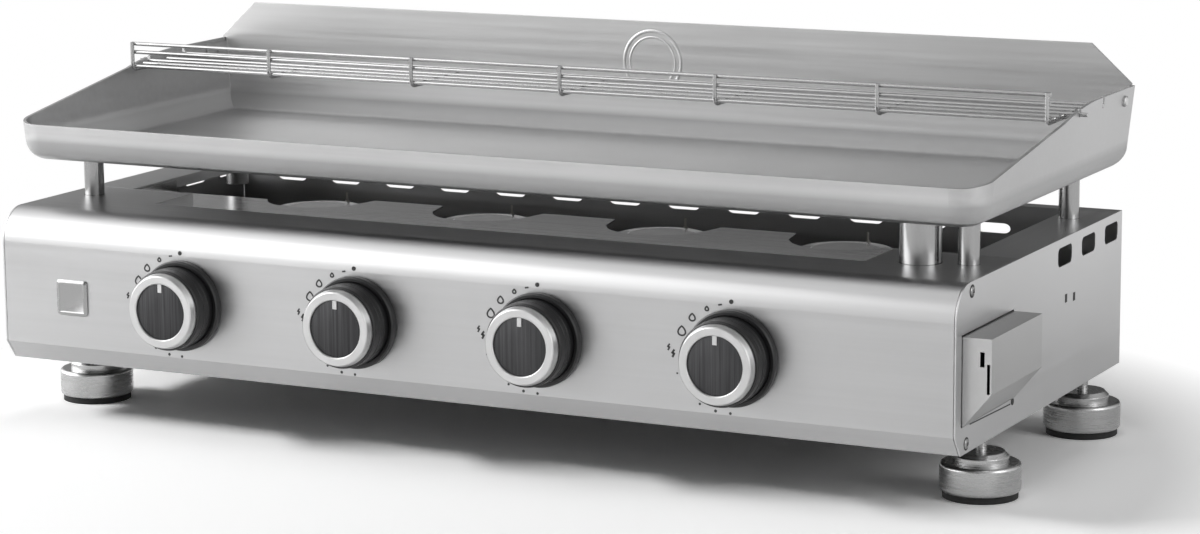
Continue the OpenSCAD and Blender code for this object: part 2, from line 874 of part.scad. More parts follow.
module griddle_plate() color(steel) centred() {
  difference() {
    translate([0, 0, plate_z]) difference() {
      union() {
        block([-floor_x + over, floor_front + corner_r, 0],
              [floor_x - over, floor_back - over, plate_t]);
        block([-floor_x + corner_r + over, floor_front + over, 0],
              [floor_x - corner_r - over, floor_back - over, plate_t]);
        front_wall();
        mitred_walls();
        front_corner();
        mirror([1, 0, 0]) {
          mitred_walls();
          front_corner();
        }
      }
      across(-plate_w, plate_w) above_rim();
      translate([tube_x, tube_y, 0]) rod(drain_r, -over, plate_t + over);
    }
    for (i = [hang_front, hang_back])
      across(-plate_w, plate_w) {
        translate([rod_y(i), shelf_z]) circle(r = notch_w / 2);
        translate([rod_y(i) - notch_w / 2, shelf_z]) square([notch_w, 2 * notch_w]);
      }
    for (s = [-1, 1])
      at_screw(s) rod(screw_r + screw_gap, -screw_l, over);
  }
}

module griddle_posts() color(steel) centred() at_posts() rotate_extrude() polygon([
    [0, top_z - cup_deep + seat], [post_r - post_tip, top_z - cup_deep + seat],
    [post_r, top_z - cup_deep + seat + post_tip], [post_r, plate_z], [0, plate_z]
  ]);

module grease_tube() color(steel) centred() translate([tube_x, tube_y, 0]) rotate_extrude() polygon([
    [tube_r - tube_wall, tube_low], [tube_r, tube_low], [tube_r, plate_z - tube_wall],
    [tube_flange, plate_z - tube_wall], [tube_flange, plate_z], [tube_r - tube_wall, plate_z]
  ]);

// Sheet behind the rack: stands inside the tray and widens onto the side walls' rims
module splash_guard() color(steel) centred() {
  shoulder = plate_w / 2 - guard_gap;
  difference() {
    union() {
      along(guard_y, guard_y + sheet) polygon([
        [-wall_in(guard_low) + guard_gap, guard_low], [wall_in(guard_low) - guard_gap, guard_low],
        [wall_in(rim_z) - guard_gap, rim_z + guard_step], [shoulder, rim_z + guard_step],
        [shoulder, rim_z + guard_sh], [shoulder - guard_slope_w, rim_z + guard_h],
        [-shoulder + guard_slope_w, rim_z + guard_h], [-shoulder, rim_z + guard_sh],
        [-shoulder, rim_z + guard_step], [-wall_in(rim_z) + guard_gap, rim_z + guard_step]
      ]);
      for (s = [-1, 1])
        along(guard_y - tab_l, guard_y + sheet) polygon([
          [s * (wall_in(tab_low) - guard_gap), tab_low],
          [s * (wall_in(tab_high) - guard_gap), tab_high],
          [s * (wall_in(tab_high) - guard_gap - sheet), tab_high],
          [s * (wall_in(tab_low) - guard_gap - sheet), tab_low]
        ]);
    }
    for (s = [-1, 1])
      at_screw(s) rod(screw_r + screw_gap, -screw_l - over, over);
  }
}

module guard_screws() color(steel_light) centred()
  for (s = [-1, 1])
    at_screw(s) rotate_extrude() polygon([
      [0, -screw_l], [screw_r, -screw_l], [screw_r, run], [head_r, run],
      [head_r, head_h * 0.6], [head_r * 0.7, head_h], [0, head_h]
    ]);

// Warming rack

// Cross wire in (y, z): upright at the front, bent back under the shelf rods
module cross_wire() {
  low = shelf_z - 2 * wire_r + weld;
  reach = rod_y(rod_count - 1) - rack_front + wire_r;
  translate([0, rack_front + bend_w, low + bend_w]) {
    translate([0, -bend_w, 0]) rod(wire_r, 0, shelf_z + rail_h - low - bend_w);
    rotate([90, 0, -90]) rotate([0, 0, -90])
      rotate_extrude(angle = 90) translate([bend_w, 0]) circle(r = wire_r);
    translate([0, 0, -bend_w]) rotate([-90, 0, 0]) rod(wire_r, 0, reach - bend_w);
  }
}

// Rod along X about the middle, at a depth and height
module long_rod(half, y, z) {
  translate([-half, y, z]) rotate([0, 90, 0]) rod(wire_r, 0, 2 * half);
}

module warming_rack() color(steel_light) centred() {
  for (i = [0 : cross_count - 1])
    translate([-cross_x + i * cross_pitch, 0, 0]) cross_wire();
  for (i = [0 : rod_count - 1])
    long_rod(i == hang_front ? rack_reach : i == hang_back ? wall_out(shelf_z) : cross_x + wire_r + rod_in,
             rod_y(i), shelf_z);
  for (h = [rail_h - wire_r, rail_h * mid_rail_share])
    long_rod(cross_x + wire_r, rack_front + rod_first, shelf_z + h);
}

// Controls

module valve_collar(i) color(steel_dark) centred() at_knob(i) difference() {
    rod(collar_r, -collar_in - collar_l, -collar_in);
    rod(stem_r + run, -collar_in - collar_l - over, -collar_in + over);
  }

module valve_stem(i) color(steel_light) centred() at_knob(i) difference() {
    rod(stem_r, -stem_back, stem_front);
    translate([-stem_r, stem_r - flat_in, stem_front - flat_l]) cube([2 * stem_r, stem_r, flat_l + over]);
  }

// Black knob: hollow skirt, hub on the stem and a recessed dark face
module knob(i) color(black) centred() at_knob(i) difference() {
    rotate_extrude() polygon([
      [0, skirt_in], [hub_r, skirt_in], [hub_r, knob_out - ring_h - skirt_wall],
      [skirt_r - skirt_wall, knob_out - ring_h - skirt_wall], [skirt_r - skirt_wall, skirt_in],
      [skirt_r, skirt_in], [skirt_r, knob_out - ring_h - bevel], [skirt_r - bevel, knob_out - ring_h],
      [face_r - run, knob_out - ring_h], [face_r - run, knob_out - face_in], [0, knob_out - face_in]
    ]);
    rod(stem_r + run, skirt_in - over, stem_front + run);
  }

// Light ring round the face, with the pointer tick reaching inwards
module knob_ring(i) color(steel_light) centred() at_knob(i) {
  low = knob_out - ring_h + run;
  rotate_extrude() polygon([
      [face_r, low], [ring_r + ring_edge, low], [ring_r + ring_edge, low + ring_edge],
      [ring_r, knob_out - ring_edge / 2], [ring_r - ring_edge / 2, knob_out],
      [face_r + ring_edge / 2, knob_out], [face_r, knob_out - ring_edge / 2]
    ]);
  intersection() {
    translate([-tick_w / 2, face_r - tick_l, knob_out - face_in + run])
      cube([tick_w, tick_l + over, tick_rise]);
    rod(face_r + over, 0, knob_out);
  }
}

// Grease drawer

module grease_drawer() color(steel) centred() {
  y0 = drawer_y0 + drawer_gap;
  y1 = drawer_y0 + drawer_w - drawer_gap;
  z0 = drawer_z0 + drawer_gap;
  difference() {
    block([half_w - drawer_l, y0, z0], [half_w - sheet, y1, z0 + tray_h]);
    block([half_w - drawer_l + drawer_wall, y0 + drawer_wall, z0 + drawer_wall],
          [half_w - sheet - drawer_wall, y1 - drawer_wall, z0 + tray_h + over]);
  }
}

// Drawer front in (x, z): flat top, upright face, underside sloping back to the panel
module drawer_front() color(steel) centred() {
  y0 = drawer_y0 + drawer_gap;
  y1 = drawer_y0 + drawer_w - drawer_gap;
  x0 = half_w - sheet;
  x1 = half_w + front_out;
  zb = drawer_z0 + drawer_gap;
  zt = drawer_z0 + drawer_h - drawer_gap;
  dx = front_out - slope_in;
  dz = slope_up;
  dl = sqrt(dx * dx + dz * dz);
  outer = [[x0, zb], [x1 - dx, zb], [x1, zb + dz], [x1, zt], [x0, zt]];
  inner = [
    [x0 - over, zb + sheet], [x1 - dx - sheet * (dl - dx) / dz, zb + sheet],
    [x1 - sheet, zb + dz + sheet * (dl - dz) / dx], [x1 - sheet, zt - sheet], [x0 - over, zt - sheet]
  ];
  difference() {
    along(y0, y1) polygon(outer);
    along(y0 + sheet, y1 - sheet) polygon(inner);
    block([x1 - ear_slot_in - ear_slot_w, y0 - over, zt - ear_slot_drop - ear_slot_h],
          [x1 - ear_slot_in, y0 + sheet + over, zt - ear_slot_drop]);
    block([x1 - sheet - slit_w, y0 - over, zb + dz], [x1 - sheet, y0 + sheet + over, zb + dz + slit_h]);
  }
}

// Feet

// Children at one foot: sx and the depth choose the corner
module at_foot(sx, y) {
  translate([sx * foot_x, y, 0]) children();
}

module foot(sx, y) color(steel) centred() at_foot(sx, y) rotate_extrude() union() {
    difference() {
      translate([0, sole_h]) square([foot_r, pad_h]);
      for (z = [sole_h + pad_h - pad_round, sole_h - over])
        translate([foot_r - pad_round, z]) square([pad_round + over, pad_round + over]);
    }
    for (z = [sole_h + pad_round, sole_h + pad_h - pad_round])
      translate([foot_r - pad_round, z]) circle(r = pad_round);
    translate([0, sole_h + pad_h]) polygon([
      [0, 0], [top_r, 0], [top_r, top_h - top_bevel], [top_r - top_bevel, top_h], [0, top_h]
    ]);
    translate([0, sole_h + pad_h]) square([stud_r, stud_top - sole_h - pad_h]);
  }

module sole(sx, y) color(rubber) centred() at_foot(sx, y) rod(foot_r - sole_in, 0, sole_h);

front_panel();
left_side_panel();
right_side_panel();
back_panel();
bottom_pan();
burner_deck();
burner_rail();
burner(0);  // burner_1
burner(1);  // burner_2
burner(2);  // burner_3
burner(3);  // burner_4
burner_caps();
igniter_electrodes();
gas_manifold();
gas_inlet();
gas_valve(0);  // gas_valve_1
gas_valve(1);  // gas_valve_2
gas_valve(2);  // gas_valve_3
gas_valve(3);  // gas_valve_4
knob_bezel(0);  // knob_bezel_1
knob_bezel(1);  // knob_bezel_2
knob_bezel(2);  // knob_bezel_3
knob_bezel(3);  // knob_bezel_4
post_cups();
drawer_guides();
griddle_plate();
griddle_posts();
grease_tube();
splash_guard();
guard_screws();
warming_rack();
valve_collar(0);  // valve_collar_1
valve_collar(1);  // valve_collar_2
valve_collar(2);  // valve_collar_3
valve_collar(3);  // valve_collar_4
valve_stem(0);  // valve_stem_1
valve_stem(1);  // valve_stem_2
valve_stem(2);  // valve_stem_3
valve_stem(3);  // valve_stem_4
knob(0);  // knob_1
knob(1);  // knob_2
knob(2);  // knob_3
knob(3);  // knob_4
knob_ring(0);  // knob_ring_1
knob_ring(1);  // knob_ring_2
knob_ring(2);  // knob_ring_3
knob_ring(3);  // knob_ring_4
grease_drawer();
drawer_front();
foot(-1, foot_front);  // front_left_foot
foot(1, foot_front);  // front_right_foot
foot(-1, foot_back);  // rear_left_foot
foot(1, foot_back);  // rear_right_foot
sole(-1, foot_front);  // front_left_sole
sole(1, foot_front);  // front_right_sole
sole(-1, foot_back);  // rear_left_sole
sole(1, foot_back);  // rear_right_sole
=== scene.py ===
import math

import bmesh
import bpy
import numpy as np
from mathutils import Matrix, Vector


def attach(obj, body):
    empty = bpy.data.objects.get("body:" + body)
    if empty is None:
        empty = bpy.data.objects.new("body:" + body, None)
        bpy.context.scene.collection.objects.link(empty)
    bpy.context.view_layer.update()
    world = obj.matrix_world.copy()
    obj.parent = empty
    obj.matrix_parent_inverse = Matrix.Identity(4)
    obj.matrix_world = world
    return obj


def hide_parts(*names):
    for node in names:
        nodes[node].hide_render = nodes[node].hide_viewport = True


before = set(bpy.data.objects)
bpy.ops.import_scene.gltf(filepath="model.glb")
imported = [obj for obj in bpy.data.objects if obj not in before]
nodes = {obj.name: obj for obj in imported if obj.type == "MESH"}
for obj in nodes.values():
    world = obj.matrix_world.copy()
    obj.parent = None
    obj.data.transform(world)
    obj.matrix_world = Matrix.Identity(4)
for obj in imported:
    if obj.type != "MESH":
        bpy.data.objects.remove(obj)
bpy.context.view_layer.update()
scene = bpy.context.scene
scene.view_settings.view_transform = "Standard"

# Camera.
# It stands where the photograph was taken from: well to the right of the front and a
# little above the tray, with a long lens, so the griddle fills the frame.
CAMERA_AT = (1.1795, -2.2568, 0.5930)
CAMERA_LOOKS_AT = (-0.0031, 0.0053, 0.1140)
CAMERA_ROLL = math.radians(-0.6)
LENS_MM, SENSOR_MM = 105.06, 36.0
SHIFT_X, SHIFT_Y = 0.0363, 0.0042


def facing(at, toward):
    """Matrix that puts a camera or a lamp at one point and turns it to face another."""
    turn = (Vector(toward) - Vector(at)).to_track_quat("-Z", "Y").to_matrix().to_4x4()
    return Matrix.Translation(Vector(at)) @ turn


lens = bpy.data.cameras.new("lens")
lens.sensor_width, lens.lens = SENSOR_MM, LENS_MM
lens.shift_x, lens.shift_y = SHIFT_X, SHIFT_Y
lens.clip_end = 50.0
camera = bpy.data.objects.new("camera", lens)
scene.collection.objects.link(camera)
camera.matrix_world = facing(CAMERA_AT, CAMERA_LOOKS_AT) @ Matrix.Rotation(CAMERA_ROLL, 4, "Z")
scene.camera = camera

# Floor.
# White paper floor that keeps the griddle's shadow. Light bounces off it at FLOOR_PLAIN. Camera and
# mirror rays see it brighter by FLOOR_SHOWN, and it turns pure white with distance: from NEAR to FAR
# metres for the camera, and further out in mirrors.
FLOOR_REACH = 30.0
FLOOR_PLAIN, FLOOR_SHOWN = 0.5, 0.95
FLOOR_MIDDLE = (0.02, -0.08, 0.0)
NEAR, FAR = 0.45, 0.58
NEAR_MIRRORED, FAR_MIRRORED = 0.80, 1.25


def shader(name):
    """New material with nodes: (material, nodes, links, principled shader)."""
    material = bpy.data.materials.new(name)
    material.use_nodes = True
    tree = material.node_tree
    return material, tree.nodes, tree.links, tree.nodes["Principled BSDF"]


def node(graph, kind, **values):
    """New shader node with its input values set by name."""
    made = graph.new(kind)
    for key, value in values.items():
        made.inputs[key.replace("_", " ")].default_value = value
    return made


def maths(graph, operation, kind="ShaderNodeMath", **values):
    """New math node with its operation and the values of its numbered inputs, such as at_1=2.0."""
    made = graph.new(kind)
    made.operation = operation
    for key, value in values.items():
        made.inputs[int(key.removeprefix("at_"))].default_value = value
    return made


floor_mat, floor_graph, floor_links, floor_skin = shader("studio_floor")
floor_graph.remove(floor_skin)
plain = node(floor_graph, "ShaderNodeBsdfDiffuse", Color=(FLOOR_PLAIN, FLOOR_PLAIN, FLOOR_PLAIN, 1))
bright = node(floor_graph, "ShaderNodeBsdfDiffuse", Color=(FLOOR_SHOWN, FLOOR_SHOWN, FLOOR_SHOWN, 1))
white = node(floor_graph, "ShaderNodeEmission", Strength=1.0)
shown = floor_graph.new("ShaderNodeAddShader")
floor_links.new(plain.outputs[0], shown.inputs[0])
floor_links.new(bright.outputs[0], shown.inputs[1])
place = floor_graph.new("ShaderNodeTexCoord")
from_origin = maths(floor_graph, "LENGTH", "ShaderNodeVectorMath")
from_middle = maths(floor_graph, "DISTANCE", "ShaderNodeVectorMath", at_1=FLOOR_MIDDLE)
away_mirrored = node(floor_graph, "ShaderNodeMapRange", From_Min=NEAR_MIRRORED, From_Max=FAR_MIRRORED)
away = node(floor_graph, "ShaderNodeMapRange", From_Min=NEAR, From_Max=FAR)
floor_links.new(place.outputs["Object"], from_origin.inputs[0])
floor_links.new(place.outputs["Object"], from_middle.inputs[0])
floor_links.new(from_origin.outputs["Value"], away_mirrored.inputs["Value"])
floor_links.new(from_middle.outputs["Value"], away.inputs["Value"])
rays = floor_graph.new("ShaderNodeLightPath")
by_ray = floor_graph.new("ShaderNodeMix")
floor_links.new(rays.outputs["Is Camera Ray"], by_ray.inputs["Factor"])
floor_links.new(away_mirrored.outputs["Result"], by_ray.inputs["A"])
floor_links.new(away.outputs["Result"], by_ray.inputs["B"])
far = floor_graph.new("ShaderNodeMixShader")
floor_links.new(by_ray.outputs["Result"], far.inputs["Fac"])
floor_links.new(shown.outputs[0], far.inputs[1])
floor_links.new(white.outputs[0], far.inputs[2])
camera_or_mirror = maths(floor_graph, "MAXIMUM")
looks = maths(floor_graph, "MAXIMUM")
floor_links.new(rays.outputs["Is Camera Ray"], camera_or_mirror.inputs[0])
floor_links.new(rays.outputs["Is Glossy Ray"], camera_or_mirror.inputs[1])
floor_links.new(camera_or_mirror.outputs[0], looks.inputs[0])
floor_links.new(rays.outputs["Is Transmission Ray"], looks.inputs[1])
pick = floor_graph.new("ShaderNodeMixShader")
floor_links.new(looks.outputs[0], pick.inputs["Fac"])
floor_links.new(plain.outputs[0], pick.inputs[1])
floor_links.new(far.outputs[0], pick.inputs[2])
floor_links.new(pick.outputs[0], floor_graph["Material Output"].inputs["Surface"])
corners = [(x, y, 0) for x, y in ((-1, -1), (1, -1), (1, 1), (-1, 1))]
ground = bpy.data.meshes.new("floor")
ground.from_pydata((np.array(corners) * FLOOR_REACH).tolist(), [], [(0, 1, 2, 3)])
ground.materials.append(floor_mat)
floor = bpy.data.objects.new("floor", ground)
scene.collection.objects.link(floor)

# Sky.
# Dim and even for whatever is matt, pure white to the camera. Metal mirrors a sky with soft bright
# patches instead. A patch holds side, weight and narrow: it is the weight times the dot product of
# the direction and side, where that is above 0, to the power narrow. The patches add up.
SKY = 0.20
PATCHES = (
    ((-1, 0, 0), 0.30, 1.0),
    ((1, 0, 0), 1.3, 1.0),
    ((-0.82, -0.55, 0.15), 2.5, 5.0),
    ((-0.99, -0.05, 0.15), 3.5, 6.0),
    ((-0.45, 0.10, 0.88), 1.0, 6.0),
)
world = bpy.data.worlds.new("sky")
scene.world = world
world.use_nodes = True
sky_graph, sky_links = world.node_tree.nodes, world.node_tree.links
sky = sky_graph["Background"]
sky.inputs["Color"].default_value = (1, 1, 1, 1)
sky.inputs["Strength"].default_value = SKY
mirrored = node(sky_graph, "ShaderNodeBackground", Color=(1, 1, 1, 1))
seen = node(sky_graph, "ShaderNodeBackground", Color=(1, 1, 1, 1), Strength=1.0)
toward = sky_graph.new("ShaderNodeTexCoord")
total = None
for side, weight, narrow in PATCHES:
    dot = maths(sky_graph, "DOT_PRODUCT", "ShaderNodeVectorMath", at_1=side)
    lit_side = maths(sky_graph, "MAXIMUM", at_1=0.0)
    power = maths(sky_graph, "POWER", at_1=narrow)
    added = maths(sky_graph, "MULTIPLY_ADD", at_1=weight, at_2=0.0)
    sky_links.new(toward.outputs["Generated"], dot.inputs[0])
    sky_links.new(dot.outputs["Value"], lit_side.inputs[0])
    sky_links.new(lit_side.outputs[0], power.inputs[0])
    sky_links.new(power.outputs[0], added.inputs[0])
    if total:
        sky_links.new(total.outputs[0], added.inputs[2])
    total = added
sky_links.new(total.outputs[0], mirrored.inputs["Strength"])
rays = sky_graph.new("ShaderNodeLightPath")
looks = maths(sky_graph, "MAXIMUM")
shiny = sky_graph.new("ShaderNodeMixShader")
pick = sky_graph.new("ShaderNodeMixShader")
sky_links.new(rays.outputs["Is Glossy Ray"], looks.inputs[0])
sky_links.new(rays.outputs["Is Transmission Ray"], looks.inputs[1])
sky_links.new(looks.outputs[0], shiny.inputs["Fac"])
sky_links.new(sky.outputs[0], shiny.inputs[1])
sky_links.new(mirrored.outputs[0], shiny.inputs[2])
sky_links.new(rays.outputs["Is Camera Ray"], pick.inputs["Fac"])
sky_links.new(shiny.outputs[0], pick.inputs[1])
sky_links.new(seen.outputs[0], pick.inputs[2])
sky_links.new(pick.outputs[0], sky_graph["World Output"].inputs["Surface"])

# Lamps.
# A narrow key lamp high on the left draws the shadow's edge on the floor, a broad one beside it is
# the soft gleam in the metal, and a square lamp on the right fills the side panel.
MIDDLE_LEFT = (-0.4, -0.1, 0.0)
# Place, aim, width, height and power of each lamp.
KEY = ((-2.1, -1.35, 1.72), MIDDLE_LEFT, 1.2, 0.3, 50)
GLEAM = ((-2.5, -1.5, 1.75), MIDDLE_LEFT, 3.0, 2.3, 38)
FILL = ((2.4, -0.4, 1.2), (0, 0, 0.1), 1.2, 1.2, 15)


def soft_lamp(name, at, toward, width, height, power):
    """Rectangular lamp at one point, facing another."""
    lamp = bpy.data.lights.new(name, "AREA")
    lamp.shape, lamp.size, lamp.size_y, lamp.energy = "RECTANGLE", width, height, power
    placed = bpy.data.objects.new(name, lamp)
    scene.collection.objects.link(placed)
    placed.matrix_world = facing(at, toward)
    return placed


soft_lamp("key", *KEY).visible_glossy = False
soft_lamp("gleam", *GLEAM).visible_diffuse = False
soft_lamp("fill", *FILL)

# Housing sheets.
# Folded stainless sheet, 1.2 mm, brushed along its length: front panel, side panels, back
# panel. The pan, deck and rails inside are plain mill-finish sheet. The pan is coloured near-black,
# painted shade that darkens the floor's shadow under the body, and the deck is coloured much
# lighter, painted light in place of the light that the lamps don't bring under the tray.
MM = 1000
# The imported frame's origin, in millimetres from the housing's middle on the ground.
MIDDLE = np.array((3.0125, -5.25, 0.0))
# Scale of the noise on each axis: small along the brushing, large across it.
ALONG_X, ALONG_Y, ALONG_Z, ALL_WAYS = (0.05, 3, 3), (3, 0.05, 3), (3, 3, 0.05), (1, 1, 1)
NOISE_LOW, NOISE_HIGH = 0.3, 0.7
HAIR_DETAIL, HAIR_ROUGH, CLOUD_SCALE, CLOUD_DETAIL = 4, 0.65, 5, 2
GRAIN_DEEP = 0.0002


def surface(points, close_u=False, close_v=False, cap=False):
    """Quads between the neighbours in a (rows, columns, 3) array of points in millimetres from the
    housing's middle. close_u and close_v join the last row or column to the first, cap fills the
    first and the last row."""
    points = np.asarray(points, float)
    grid = points.shape[:2]
    index = np.arange(math.prod(grid)).reshape(grid)
    rows = np.vstack([index, index[:1]]) if close_u else index
    cols = np.hstack([rows, rows[:, :1]]) if close_v else rows
    quads = np.stack([cols[:-1, :-1], cols[1:, :-1], cols[1:, 1:], cols[:-1, 1:]], -1).reshape(-1, 4)
    faces = quads.tolist()
    if cap:
        faces += [index[0].tolist(), index[-1][::-1].tolist()]
    return points.reshape(-1, 3), faces


def turn_outward(mesh, merge=0.0):
    """Turns a mesh's faces outwards, after it joins points closer together than merge metres."""
    work = bmesh.new()
    work.from_mesh(mesh)
    if merge:
        bmesh.ops.remove_doubles(work, verts=work.verts[:], dist=merge)
    bmesh.ops.recalc_face_normals(work, faces=work.faces[:])
    work.to_mesh(mesh)
    work.free()
    mesh.update()


def mesh_of(name, surfaces):
    """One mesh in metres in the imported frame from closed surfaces, its faces turned outwards."""
    points, faces, first = [], [], 0
    for own_points, own_faces in surfaces:
        points.append(own_points)
        faces += [[i + first for i in face] for face in own_faces]
        first += len(own_points)
    mesh = bpy.data.meshes.new(name)
    mesh.from_pydata(((np.vstack(points) - MIDDLE) / MM).tolist(), [], faces)
    turn_outward(mesh)
    return mesh


def add(mesh, material, body, smooth=True, sharp=35):
    """Puts a mesh into the scene with its material and body, shaded smooth unless smooth is False."""
    piece = bpy.data.objects.new(mesh.name, mesh)
    scene.collection.objects.link(piece)
    mesh.materials.append(material)
    mesh.polygons.foreach_set("use_smooth", np.full(len(mesh.polygons), smooth))
    if smooth:
        mesh.set_sharp_from_angle(angle=math.radians(sharp))
    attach(piece, body)
    return piece


def between(graph, one, other):
    """New node that mixes two colours."""
    made = graph.new("ShaderNodeMix")
    made.data_type = "RGBA"
    made.inputs["A"].default_value = (*one, 1)
    made.inputs["B"].default_value = (*other, 1)
    return made


def relief(graph, links, skin, height, depth, bevel):
    """Feeds a shader's normal: edges rounded by bevel metres, under a bump that follows height."""
    edge = node(graph, "ShaderNodeBevel", Radius=bevel)
    edge.samples = 4
    bump = node(graph, "ShaderNodeBump", Strength=depth, Distance=GRAIN_DEEP)
    links.new(height, bump.inputs["Height"])
    links.new(edge.outputs["Normal"], bump.inputs["Normal"])
    links.new(bump.outputs["Normal"], skin.inputs["Normal"])


def band_of_height(graph, links, at, low, high):
    """Output that is 1 between two heights and fades to 0 below and above: low and high each hold
    the heights, in metres, where a fade starts and ends."""
    split = graph.new("ShaderNodeSeparateXYZ")
    rise = node(graph, "ShaderNodeMapRange", From_Min=low[0], From_Max=low[1])
    fall = node(graph, "ShaderNodeMapRange", From_Min=high[0], From_Max=high[1], To_Min=1.0, To_Max=0.0)
    both = maths(graph, "MULTIPLY")
    links.new(at.outputs["Object"], split.inputs[0])
    links.new(split.outputs["Z"], rise.inputs["Value"])
    links.new(split.outputs["Z"], fall.inputs["Value"])
    links.new(rise.outputs["Result"], both.inputs[0])
    links.new(fall.outputs["Result"], both.inputs[1])
    return both.outputs[0]


def steel(name, colour, rough, grain=60, stretch=ALONG_X, depth=0.10, bevel=0.0004, streak=0.03,
          cloud=0.03, spread=0.06, dull_band=None):
    """Brushed metal. Noise stretched along the grain varies the colour by the share streak, the
    roughness by spread and the height; a second, wide noise clouds the colour by the share cloud.
    dull_band holds the fades of a band of heights and how much rougher the metal is there."""
    material, graph, links, skin = shader(name)
    skin.inputs["Metallic"].default_value = 1.0
    at = graph.new("ShaderNodeTexCoord")
    turn = node(graph, "ShaderNodeMapping", Scale=stretch)
    hair = node(graph, "ShaderNodeTexNoise", Scale=grain, Detail=HAIR_DETAIL, Roughness=HAIR_ROUGH)
    wide = node(graph, "ShaderNodeTexNoise", Scale=CLOUD_SCALE, Detail=CLOUD_DETAIL)
    links.new(at.outputs["Object"], turn.inputs["Vector"])
    links.new(turn.outputs["Vector"], hair.inputs["Vector"])
    links.new(at.outputs["Object"], wide.inputs["Vector"])
    dull = node(graph, "ShaderNodeMapRange", From_Min=NOISE_LOW, From_Max=NOISE_HIGH,
                To_Min=rough - spread, To_Max=rough + spread)
    links.new(hair.outputs["Fac"], dull.inputs["Value"])
    if dull_band:
        low, high, share = dull_band
        duller = maths(graph, "MULTIPLY_ADD", at_1=share)
        links.new(band_of_height(graph, links, at, low, high), duller.inputs[0])
        links.new(dull.outputs["Result"], duller.inputs[2])
        dull = duller
    links.new(dull.outputs[0], skin.inputs["Roughness"])
    both = cloud + streak
    sum_of = graph.new("ShaderNodeMix")
    sum_of.inputs["Factor"].default_value = cloud / both
    links.new(hair.outputs["Fac"], sum_of.inputs["A"])
    links.new(wide.outputs["Fac"], sum_of.inputs["B"])
    tint = node(graph, "ShaderNodeMapRange", From_Min=NOISE_LOW, From_Max=NOISE_HIGH)
    links.new(sum_of.outputs["Result"], tint.inputs["Value"])
    paint = between(graph, [c * (1 - both) for c in colour], [min(1, c * (1 + both)) for c in colour])
    links.new(tint.outputs["Result"], paint.inputs["Factor"])
    links.new(paint.outputs["Result"], skin.inputs["Base Color"])
    relief(graph, links, skin, hair.outputs["Fac"], depth, bevel)
    return material


def grey(value, cool=0.0):
    """Grey of one value, a little bluer by cool."""
    return value, value, value + cool


def finish_nodes(material, *names):
    """Gives CAD nodes a material."""
    for name in names:
        nodes[name].data.materials.clear()
        nodes[name].data.materials.append(material)


panel_steel = steel("panel_steel", grey(0.485, 0.003), 0.35)
side_steel = steel("side_steel", grey(0.56, 0.003), 0.34, stretch=ALONG_Y)
mill_steel = steel("mill_steel", grey(0.34), 0.42, grain=40, stretch=ALL_WAYS, depth=0.05)
# Near-black: painted shade that darkens the floor's shadow under the body.
pan_painted_dark = steel("pan_painted_dark", grey(0.13), 0.5, grain=40, stretch=ALL_WAYS, depth=0.05)
# Much lighter than mill-finish sheet: painted light in place of light that doesn't reach under the
# tray.
deck_painted_light = steel("deck_painted_light", grey(0.66), 0.20, depth=0.05)
finish_nodes(panel_steel, "front_panel")
finish_nodes(side_steel, "left_side_panel", "right_side_panel")
finish_nodes(pan_painted_dark, "bottom_pan")
finish_nodes(mill_steel, "burner_rail", "post_cups", "drawer_guides")
finish_nodes(deck_painted_light, "burner_deck")

# Back panel.
# Rear sheet of the same folded steel, pierced with a row of fourteen long air slots. They are set a
# little lower and are narrower than in the solid, so that daylight shows through them just under
# the tray.
SLOT_LOW, SLOT_HIGH, SLOT_SLACK = 140.0, 151.0, 0.5
SLOT_MIDDLE, SLOT_TALL = 141.0, 7.6
back_mesh = nodes["back_panel"].data.copy()
back_mesh.name = "back_sheet"
where = np.empty(len(back_mesh.vertices) * 3)
back_mesh.vertices.foreach_get("co", where)
where = where.reshape(-1, 3)
z = where[:, 2] * MM
rim = (z > SLOT_LOW - SLOT_SLACK) & (z < SLOT_HIGH + SLOT_SLACK)
share = (z[rim] - SLOT_LOW) / (SLOT_HIGH - SLOT_LOW) - 0.5
where[rim, 2] = (SLOT_MIDDLE + share * SLOT_TALL) / MM
back_mesh.vertices.foreach_set("co", where.ravel())
turn_outward(back_mesh, merge=1e-6)
back_mesh.materials.clear()
back_sheet = add(back_mesh, panel_steel, "housing", smooth=False)
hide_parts("back_panel")

# Screws and stampings of the side panels.
# Small steel button-head screws, each in a shallow dimple, hold the side panels to the front fold.
# Two short upright lances are pressed into each sheet behind them, and on the right side a drip
# slit and a small drain hole lie under the drawer. The dimples, lances, slit and drain are drawn as
# near-black patches a fraction proud of the sheet: painted shade in place of their hollows and holes.
SIDE = 380.0
SUNK = 0.3
SCREWS = ((-139.0, 154.5), (-147.0, 53.5))
# Radius and height of a screw head, and the distance of its hexagon's flats from the middle.
SIDE_HEAD = (3.5, 1.3, 1.4)
DIMPLE_R, DIMPLE_IN, DIMPLE_OUT = 4.5, 3.2, 0.12
LANCES = ((46.5, 116.8), (63.5, 115.1))
LANCE_WIDE, LANCE_HALF, LANCE_OUT = 4.0, 3.0, 0.15
SLIT_FROM, SLIT_TO, SLIT_WIDE, SLIT_OUT = (-141.0, 65.4), (-64.0, 63.2), 0.9, 0.1
DRAIN_AT, DRAIN_R, DRAIN_OUT = (-60.0, 64.1), 2.4, 0.3


def turned(profile, sides=24):
    """Surface of revolution about the third axis: radius and height of each row of the profile,
    carried round a full turn. The rows run from one capped end to the other."""
    a = np.linspace(0, 2 * np.pi, sides, endpoint=False)
    r, h = np.asarray(profile, float).T
    return np.stack([r[:, None] * np.cos(a), r[:, None] * np.sin(a), h[:, None] + 0 * a], -1)


